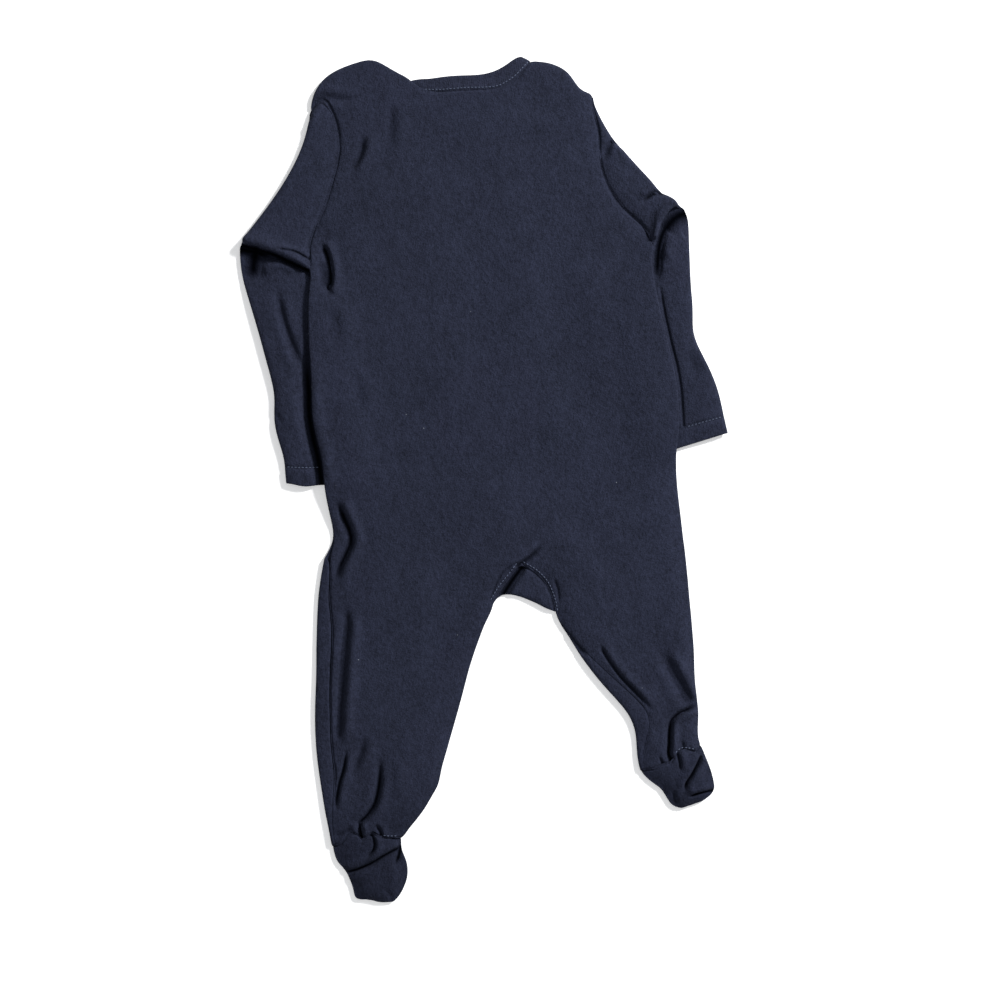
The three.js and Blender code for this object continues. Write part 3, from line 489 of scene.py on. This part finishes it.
def near_folds(centres, widest, share):
    """Marks the spots that lie within reach of a fold no wider than this."""
    marked = np.zeros(len(centres), bool)
    for line, section, _ in ALL_FOLDS:
        if min(width for _, _, width in section) > widest:
            continue
        reach = share * max(abs(offset) * 0.6 + width for offset, _, width in section)
        corners = np.array(line)
        inside = np.all((centres > corners.min(0) - reach) & (centres < corners.max(0) + reach), axis=1)
        if inside.any():
            away, _, _ = beside(centres[inside], line)
            marked[np.flatnonzero(inside)[np.abs(away) < reach]] = True
    return marked


LOWER_LAYER = 1.8 * MM
WELD = 0.005 * MM


def refine(form, widest, share):
    tops = [f for f in form.faces
            if f.normal.z > 0.2 and f.calc_center_median().z > LOWER_LAYER]
    if not tops:
        return
    centres = np.array([f.calc_center_median()[:2] for f in tops]) * 1000 - TO_MIDDLE
    marked = near_folds(centres, widest, share)
    edges = list({e for f, mark in zip(tops, marked) if mark for e in f.edges})
    bmesh.ops.subdivide_edges(form, edges=edges, cuts=1, use_grid_fill=True)


def cloth(node, name, levels):
    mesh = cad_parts[node].data.copy()
    form = bmesh.new()
    form.from_mesh(mesh)
    bmesh.ops.remove_doubles(form, verts=form.verts, dist=WELD)
    bmesh.ops.join_triangles(
        form, faces=form.faces, cmp_seam=False, cmp_sharp=False, cmp_uvs=False,
        cmp_vcols=False, cmp_materials=False, angle_face_threshold=math.radians(50),
        angle_shape_threshold=math.radians(70),
    )
    form.to_mesh(mesh)
    form.free()
    coarse = bpy.data.objects.new(name + "_coarse", mesh)
    bpy.context.scene.collection.objects.link(coarse)
    smooth = coarse.modifiers.new("smooth", "SUBSURF")
    smooth.levels = smooth.render_levels = levels
    graph = bpy.context.evaluated_depsgraph_get()
    fine = bpy.data.meshes.new_from_object(coarse.evaluated_get(graph))
    bpy.data.objects.remove(coarse)
    form = bmesh.new()
    form.from_mesh(fine)
    if levels < 3:
        refine(form, 7, 2.0)
    refine(form, 3.0, 1.7)
    form.to_mesh(fine)
    form.free()
    fine.shade_smooth()
    fine.materials.clear()
    piece = bpy.data.objects.new(name, fine)
    bpy.context.scene.collection.objects.link(piece)
    print(name, "triangles:", sum(len(p.vertices) - 2 for p in fine.polygons))
    return piece


def points(piece):
    values = np.empty(len(piece.data.vertices) * 3, np.float32)
    piece.data.vertices.foreach_get("co", values)
    return values.reshape(-1, 3).astype(float) * 1000


def piece_normals(piece):
    values = np.empty(len(piece.data.vertices) * 3, np.float32)
    piece.data.vertex_normals.foreach_get("vector", values)
    return values.reshape(-1, 3).astype(float)


def put(piece, values):
    piece.data.vertices.foreach_set("co", (values / 1000).astype(np.float32).ravel())
    piece.data.update()


pieces = {}
for node, levels in (
    ("back", 2), ("front_left", 2), ("front_right", 2), ("gusset", 3), ("sleeve_left", 2),
    ("sleeve_right", 2), ("neckband", 3), ("foot_left_sole", 3), ("foot_left_upper", 2),
    ("foot_right_sole", 3), ("foot_right_upper", 2),
):
    pieces[node] = cloth(node, "cloth_" + node, levels)

# %% [markdown]
# Seams. At each one, the solids stand a little apart. The soft pieces are
# drawn together there until their round edges touch. Each seam is a fold like
# the others, narrow and shallow, pressed into the upper side. A pull says on
# which side of its line the cloth moves, how far, how wide the cloth near the
# line is that follows, and how much it sinks.

# %% Seam lines
LEFT_ARMHOLE = [
    (-104, 281.5), (-102.5, 283.6), (-97, 289.6), (-91.2, 291.2), (-87, 285), (-84, 268), (-86, 249),
    (-94, 229), (-104, 209), (-113, 195), (-119, 184), (-120, 176), (-119, 168),
]
RIGHT_ARMHOLE = [
    (108.5, 262.5), (110.5, 248), (111.5, 234), (109.5, 220), (109.5, 206),
    (112.5, 193), (119, 178), (129, 166), (136, 156), (138.5, 145),
]
BACK_NECK = [
    (-28, 298.5), (-21, 291), (-14, 285.5), (-3, 283.3), (8, 282.3), (19, 281.3),
    (30, 279.8), (40, 279.3), (48, 281.5), (56, 285.5), (63, 291), (70, 296),
]
LEFT_ANKLE = [(-174, -269.4), (-146, -269.9), (-112, -270.8)]
RIGHT_ANKLE = [(66, -248.4), (92, -242), (121, -234.9)]
GUSSET_LEFT = [(2.9, -79.8), (-5, -87.2), (-13.9, -95.9), (-21.9, -106.6), (-28, -116)]
GUSSET_RIGHT = [(3.6, -79.9), (12.8, -88.2), (19.7, -98.4), (22.5, -111), (22.8, -122)]
LEFT_STRIP = [
    (-139.7, -53), (-141, -66), (-143.5, -78), (-144.8, -92), (-145.8, -108),
    (-148.2, -122), (-151.2, -136), (-154, -151), (-156.1, -167), (-158.3, -183),
    (-159.7, -200), (-159.9, -215), (-162.8, -229), (-166.7, -243),
]
RIGHT_STRIP = [(76, -206), (79, -216), (78, -226), (74, -236), (71.4, -247)]
SEAM_GROOVES = [
    (LEFT_ARMHOLE, [(0, -1.6, 1.0)], (0.02, 0)), (RIGHT_ARMHOLE, [(0, -1.0, 0.9)], (0, 0.2)),
    (BACK_NECK, [(0, -0.6, 0.9)], (0.3, 0)), (LEFT_STRIP, [(0, -1.4, 1.0)], (0.1, 0.1)),
    (GUSSET_LEFT, [(0, -1.0, 1.0)], (0, 0)), (GUSSET_RIGHT, [(0, -1.1, 1.0)], (0, 0)),
    (LEFT_ANKLE, [(0, -1.8, 1.0)], (0, 0)), (RIGHT_ANKLE, [(0, -1.6, 1.0)], (0, 0)),
]
SEAM_PULLS = {
    "back": [(RIGHT_STRIP, 1, 1.0, 7, 0.2)],
    "sleeve_left": [(LEFT_ARMHOLE, -1, 0.8, 7, 0)],
    "sleeve_right": [(RIGHT_ARMHOLE, 1, 0.8, 7, 0)],
    "neckband": [(BACK_NECK, 1, 2.2, 9, 0.1)],
    "gusset": [(GUSSET_LEFT, 1, 1.6, 7, 0.3), (GUSSET_RIGHT, -1, 1.6, 7, 0.3)],
    "foot_left_sole": [(LEFT_ANKLE, -1, 1.5, 8, 0)],
    "foot_left_upper": [(LEFT_ANKLE, -1, 1.5, 8, 0)],
    "foot_right_sole": [(RIGHT_ANKLE, -1, 1.5, 8, 0)],
    "foot_right_upper": [(RIGHT_ANKLE, -1, 1.5, 8, 0)],
}
# Share of painted shade that the groove of a seam gets.
SEAM_SHADE = 0.7


def draw_to(values, line, side, by, reach, sink):
    """Moves cloth on one side of a line towards it, less and less with distance."""
    away, _, out = beside(values[:, :2], line)
    away = away * side
    near = ease(reach, 0, np.abs(away)) * (away > -reach * 0.5)
    values[:, :2] -= out * np.sign(away)[:, None] * (by * near)[:, None]
    values[:, 2] -= sink * near
    return values


def sew(values, tops):
    """Presses the seams into the upper side and gives their grooves painted shade by how deep they lie."""
    groove = folded(values[:, :2], SEAM_GROOVES) * ease(2, 3, values[:, 2]) * tops
    values[:, 2] += groove
    painted_shade = painted_fold_shade(values[:, :2], SEAM_GROOVES) * ease(2, 3, values[:, 2]) * tops
    return values, painted_shade


print("seams:", len(SEAM_GROOVES), "pieces drawn together:", len(SEAM_PULLS))

# %% [markdown]
# The gathered ankles. Their seams wander up and down, so both neighbours are
# shifted along the leg by the same curve.

# %% Ankle gathers
BODY_PIECES = ("back", "front_left", "front_right")
LEFT_WANDER = [(-172, 0), (-164, 1), (-158, 6.5), (-153, 8.5), (-149.5, 6.5), (-147, 2.5), (-143, 5),
               (-138, 6.5), (-133, 3), (-127, 1.6), (-119, 0), (-110, 0)]
RIGHT_WANDER = [(66, 0), (74, -1.5), (80, -2.8), (85, -2.2), (89, -2.4), (93, -3), (96, -0.5),
                (99, 2.2), (104, 1.8), (109, 0.2), (113, -2.2), (118, 0)]


def wander(values, table, line, reach=13.0):
    away, _, _ = beside(values[:, :2], line)
    xs, shifts = np.array(table).T
    move = np.interp(values[:, 0], xs, shifts)
    values[:, 1] += move * np.exp(-(away / reach) ** 2)
    return values


def gather(values, node):
    if node in BODY_PIECES or node.startswith("foot_left"):
        values = wander(values, LEFT_WANDER, LEFT_ANKLE)
    if node in BODY_PIECES or node.startswith("foot_right"):
        values = wander(values, RIGHT_WANDER, RIGHT_ANKLE)
    return values


# %% [markdown]
# Small corrections of the outline, each a place, a move and a reach. They give
# the corners and bulges that soft cloth has where two pieces meet.

# %% Outline
NUDGES = [
    (("back", "front_left"), (-26, 297), (0, 1.0), 6),
    (("neckband",), (-21, 294.5), (0, 2.6), 8),
    (("foot_left_sole", "foot_left_upper"), (-149, -316), (0, 2.5), 6),
    (("foot_left_sole", "foot_left_upper"), (-158, -309), (-1, -1), 4),
    (("back", "front_right"), (129.5, -58), (0.9, 0), 22),
    (("back", "front_left"), (-24, -111), (1.6, -0.4), 9),
    (("back", "front_left"), (-84, -234), (1.2, -1.2), 9),
    (("back", "neckband", "front_right"), (69, 297), (-1.8, 2.4), 5),
    (("back", "front_right", "sleeve_right"), (108, 263), (2.0, 1.5), 5),
    (("back", "front_right"), (94, 283), (0.8, 0.8), 10),
    (("sleeve_right",), (149, 184), (-1.5, -1.8), 7),
    (("sleeve_right",), (167, 170), (-0.9, -1.3), 7),
    (("sleeve_left",), (-174.5, 196.5), (1.6, -0.3), 4),
    (("sleeve_left",), (-150, 5), (0, -2), 9),
    (("sleeve_left",), (-122.5, 167.5), (1.4, -1.2), 4),
    (("back", "front_left"), (-119.5, 167), (-1.4, 0), 5),
    (("sleeve_right",), (140.5, 143), (-1.4, 0.4), 5),
    (("back", "front_right"), (137, 143), (1.2, 0), 5),
]
SWELL = 0.45
CUFF_ENDS = [(-163, 9.5), (-106, -2.5), (113, -11.5), (173, -2.5)]
CUFF_DROP = {"sleeve_left": 1.0, "sleeve_right": 2.2}
CUFF_REACH = 16


def nudge(values, node):
    for nodes, centre, move, reach in NUDGES:
        if node in nodes:
            far = np.linalg.norm(values[:, :2] - np.array(centre), axis=1)
            values[:, :2] += np.array(move) * np.exp(-(far / reach) ** 2)[:, None]
    return values


def lengthen_cuff(values, node):
    xs, ys = np.array(CUFF_ENDS).T
    end = np.interp(values[:, 0], xs, ys)
    values[:, 1] -= CUFF_DROP[node] * ease(end + CUFF_REACH, end, values[:, 1])
    return values


print("corrections of the outline:", len(NUDGES))

# %% [markdown]
# The cloth is bent last. Its underside stays flat on the floor: a fold has no
# effect at floor height and its whole effect on the upper layer.

# %% Bend the cloth
LIP_LOW, LIP_HIGH = 5.2, 5.9
THIN_TOP, THIN_UNDER = 2.7, 1.5
# Painted shade that darkens the feet towards the bottom.
FOOT_PAINTED_SHADE = 0.26
FOLDS_OF = {
    "sleeve_left": LEFT_FOREARM_FOLDS, "sleeve_right": RIGHT_FOREARM_FOLDS, "gusset": GUSSET_FOLDS,
    "foot_left_sole": FOOT_FOLDS, "foot_right_sole": FOOT_FOLDS,
}
RIM_OF = {"sleeve_left": LEFT_RIM, "sleeve_right": RIGHT_RIM}
LIPS_OF = {"sleeve_left": LEFT_LIP_FOLDS, "sleeve_right": RIGHT_LIP_FOLDS}


def bend(values, rise, weight, tops, lowest_top, lowest):
    bent = values[:, 2] + rise * weight
    least = np.minimum(np.where(tops, lowest_top, lowest), values[:, 2])
    sunk = (weight > 0.05) & (rise < 0)
    values[:, 2] = np.where(sunk, np.maximum(bent, least), bent)
    return values


def waves(spots):
    xs, ys = spots.T
    return 0.35 * np.sin(xs / 17 + ys / 41) * np.sin(ys / 29 - xs / 53)


def upper(height):
    """Nothing at floor height, everything on the upper layer."""
    return ease(1, 3, height)


def bend_back(values, spots, height, tops):
    over_arm = ease(-112, -118, spots[:, 0]) * ease(-14, -4, spots[:, 1]) * ease(196, 172, spots[:, 1])
    low_top = THIN_TOP + 2.9 * over_arm
    rise = folded(spots, BODY_FOLDS) + waves(spots)
    return bend(values, rise, upper(height), tops, low_top, low_top - 1.2)


def bend_front(values, spots, height, tops):
    low_top = 1.2 + 3.0 * ease(-112, -118, spots[:, 0])
    rise = folded(spots, BODY_FOLDS)
    turned_up = (height > 2.2) & (spots[:, 1] < 0)
    rise = np.where(turned_up, rise + waves(spots), np.minimum(rise, 0))
    low_top = np.where(turned_up, THIN_TOP, low_top)
    return bend(values, rise, ease(1.3, 2.6, height), tops, low_top, low_top - 1.2)


def bend_sleeve(values, node, spots, height, tops):
    above, _, _ = beside(spots, RIM_OF[node])
    lip = np.maximum(ease(LIP_LOW, LIP_HIGH, height), ease(0, 4, above) * ease(2.5, 4, height))
    values = bend(values, folded(spots, LIPS_OF[node]) + waves(spots), lip, tops, THIN_TOP, THIN_UNDER)
    fore = upper(height) * ease(LIP_HIGH, LIP_LOW, height)
    return bend(values, folded(spots, FOLDS_OF[node]), fore, tops, 2.5, 1.4)


def bend_piece(values, node, tops):
    spots, height = values[:, :2].copy(), values[:, 2].copy()
    if node == "back":
        return bend_back(values, spots, height, tops)
    if node in BODY_PIECES:
        return bend_front(values, spots, height, tops)
    if node in RIM_OF:
        return bend_sleeve(values, node, spots, height, tops)
    if node.endswith("sole"):
        rise = folded(spots, FOOT_FOLDS) + waves(spots)
        return bend(values, rise, upper(height), tops, THIN_TOP, THIN_UNDER)
    if node == "gusset":
        return bend(values, folded(spots, GUSSET_FOLDS), upper(height), tops, 2.3, 1.4)
    return values


def painted_shade_of(values, node, tops):
    """Painted shade: how deep each point lies in a fold, and a painted shade that makes the feet darker
    towards the bottom.
    """
    spots = values[:, :2]
    painted_shade = painted_fold_shade(spots, FOLDS_OF.get(node, BODY_FOLDS)) * tops * (values[:, 2] > 2)
    if node in RIM_OF:
        above, _, _ = beside(spots, RIM_OF[node])
        below = ease(0.3, -0.7, above)
        painted_shade = painted_shade * below + painted_fold_shade(spots, LIPS_OF[node]) * tops * (1 - below)
    return np.maximum(painted_shade, FOOT_PAINTED_SHADE * ease(-215, -275, spots[:, 1]))


for node, piece in pieces.items():
    values = points(piece)
    normals = piece_normals(piece)
    tops = normals[:, 2] > 0
    values[:, :2] += normals[:, :2] * SWELL - TO_MIDDLE
    for pull in SEAM_PULLS.get(node, []):
        values = draw_to(values, *pull)
    if node in CUFF_DROP:
        values = lengthen_cuff(values, node)
    values, seam_painted_shade = sew(values, tops)
    values = nudge(gather(values, node), node)
    painted_shade = painted_shade_of(values, node, tops)
    values = bend_piece(values, node, tops)
    values[:, :2] += TO_MIDDLE
    values[:, 2] = np.maximum(values[:, 2], 0)
    put(piece, values)
    # The painted shade of folds, seams and feet goes into the attribute that the knit reads.
    shade = piece.data.attributes.new("hollow", "FLOAT", "POINT")
    shade_values = np.clip(np.maximum(painted_shade, SEAM_SHADE * seam_painted_shade), 0, 1)
    shade.data.foreach_set("value", shade_values.astype(np.float32))
print("bent pieces:", len(pieces))

# %% [markdown]
# Topstitching shows as short, raised threads beside the seams. Each stitch is
# a small ball, stretched along the seam and laid on the cloth below it.

# %% Stitches
THREAD_ROWS = {
    "stitches_neck": [([(-15, 287.6), (-3, 285.4), (8, 284.4), (19, 283.4), (30, 281.9), (40, 281.4),
                        (47.4, 283.4), (55, 287.2), (61.6, 292.4), (66, 296)], "neckband")],
    "stitches_cuff_left": [([(-163.5, 21), (-157, 19.6), (-146, 17.6), (-137, 16.6)], "sleeve_left")],
    "stitches_cuff_right": [([(173, 8.4), (164, 7.2), (154, 6), (143, 4.6)], "sleeve_right")],
    "stitches_gusset": [([(5, -77.5), (14.8, -85.6), (22, -96.4), (25, -109), (25.6, -119)], "back"),
                        ([(0.5, -77.8), (-7.2, -85.4), (-16, -93.6), (-24, -103.4)], "back")],
    "stitches_ankle_left": [([(-131, -266), (-126, -267.4), (-120, -268.4)], "back")],
    "stitches_ankle_right": [([(97, -238), (101, -235.6), (106, -235.4), (112, -237.4)], "back")],
}


def thread(name, rows, pitch=2.7, length=2.3, width=0.75):
    form = bmesh.new()
    count = 0
    for line, node in rows:
        mesh = pieces[node].data
        corners = [v.co[:] for v in mesh.vertices]
        facets = [p.vertices[:] for p in mesh.polygons]
        tree = BVHTree.FromPolygons(corners, facets)
        curve = smooth_line(line, 0.5) + TO_MIDDLE
        along = np.concatenate([[0], np.cumsum(np.linalg.norm(np.diff(curve, axis=0), axis=1))])
        for at in np.arange(pitch / 2, along[-1], pitch):
            spots = [Vector((np.interp(s, along, curve[:, 0]), np.interp(s, along, curve[:, 1]), 40)) * MM
                     for s in (at - length / 2, at, at + length / 2)]
            hits = [tree.ray_cast(spot, Vector((0, 0, -1))) for spot in spots]
            if any(hit[0] is None for hit in hits):
                continue
            ahead = (hits[2][0] - hits[0][0]).normalized()
            normal = hits[1][1]
            across = normal.cross(ahead).normalized()
            turned = Matrix((ahead, across, ahead.cross(across))).transposed().to_4x4()
            sized = Matrix.Diagonal((length * MM, width * MM, width * MM, 1))
            centre = hits[1][0] + normal * 0.08 * MM
            bmesh.ops.create_uvsphere(form, u_segments=6, v_segments=4, radius=0.5,
                                      matrix=Matrix.Translation(centre) @ turned @ sized)
            count += 1
    mesh = bpy.data.meshes.new(name)
    form.to_mesh(mesh)
    form.free()
    mesh.shade_smooth()
    piece = bpy.data.objects.new(name, mesh)
    bpy.context.scene.collection.objects.link(piece)
    print(name, "stitches:", count)
    return piece


sewing = bpy.data.materials.new("navy_thread")
sewing.use_nodes = True
thread_shader = sewing.node_tree.nodes["Principled BSDF"]
thread_shader.inputs["Roughness"].default_value = 0.6
thread_shader.inputs["Specular IOR Level"].default_value = 0.3
thread_noise = sewing.node_tree.nodes.new("ShaderNodeTexNoise")
thread_noise.inputs["Scale"].default_value = 700
thread_ramp = sewing.node_tree.nodes.new("ShaderNodeValToRGB")
thread_ramp.color_ramp.elements[0].color = (0.028, 0.036, 0.066, 1)
thread_ramp.color_ramp.elements[1].color = (0.075, 0.092, 0.145, 1)
thread_place = sewing.node_tree.nodes.new("ShaderNodeTexCoord")
sewing.node_tree.links.new(thread_place.outputs["Object"], thread_noise.inputs["Vector"])
sewing.node_tree.links.new(thread_noise.outputs["Fac"], thread_ramp.inputs["Fac"])
sewing.node_tree.links.new(thread_ramp.outputs["Color"], thread_shader.inputs["Base Color"])
for name, rows in THREAD_ROWS.items():
    row = thread(name, rows)
    row.data.materials.append(sewing)
    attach(row, "root")

# %% [markdown]
# Each cloth piece gets its knit, the neckband the rib, and its solid is hidden.

# %% Knit on the pieces
for node, piece in pieces.items():
    material = navy_rib if node == "neckband" else navy
    piece.data.materials.append(material)
    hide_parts(node)
    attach(piece, "root")

# %% [markdown]
# The press snaps are on the side that lies down. Their caps are dull painted
# metal, with a roughness that varies a little.

# %% Press snaps
enamel = bpy.data.materials.new("snap_enamel")
enamel.use_nodes = True
enamel_nodes, enamel_links = enamel.node_tree.nodes, enamel.node_tree.links
enamel_shader = enamel_nodes["Principled BSDF"]
enamel_shader.inputs["Metallic"].default_value = 0.7
enamel_shader.inputs["Base Color"].default_value = (0.03, 0.036, 0.06, 1)
enamel_noise = enamel_nodes.new("ShaderNodeTexNoise")
enamel_noise.inputs["Scale"].default_value = 900
enamel_noise.inputs["Detail"].default_value = 3
enamel_place = enamel_nodes.new("ShaderNodeTexCoord")
enamel_range = enamel_nodes.new("ShaderNodeMapRange")
enamel_range.inputs["To Min"].default_value = 0.3
enamel_range.inputs["To Max"].default_value = 0.55
enamel_links.new(enamel_place.outputs["Object"], enamel_noise.inputs["Vector"])
enamel_links.new(enamel_noise.outputs["Fac"], enamel_range.inputs["Value"])
enamel_links.new(enamel_range.outputs["Result"], enamel_shader.inputs["Roughness"])
for node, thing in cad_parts.items():
    if node.startswith("snap"):
        thing.data.materials.clear()
        thing.data.materials.append(enamel)
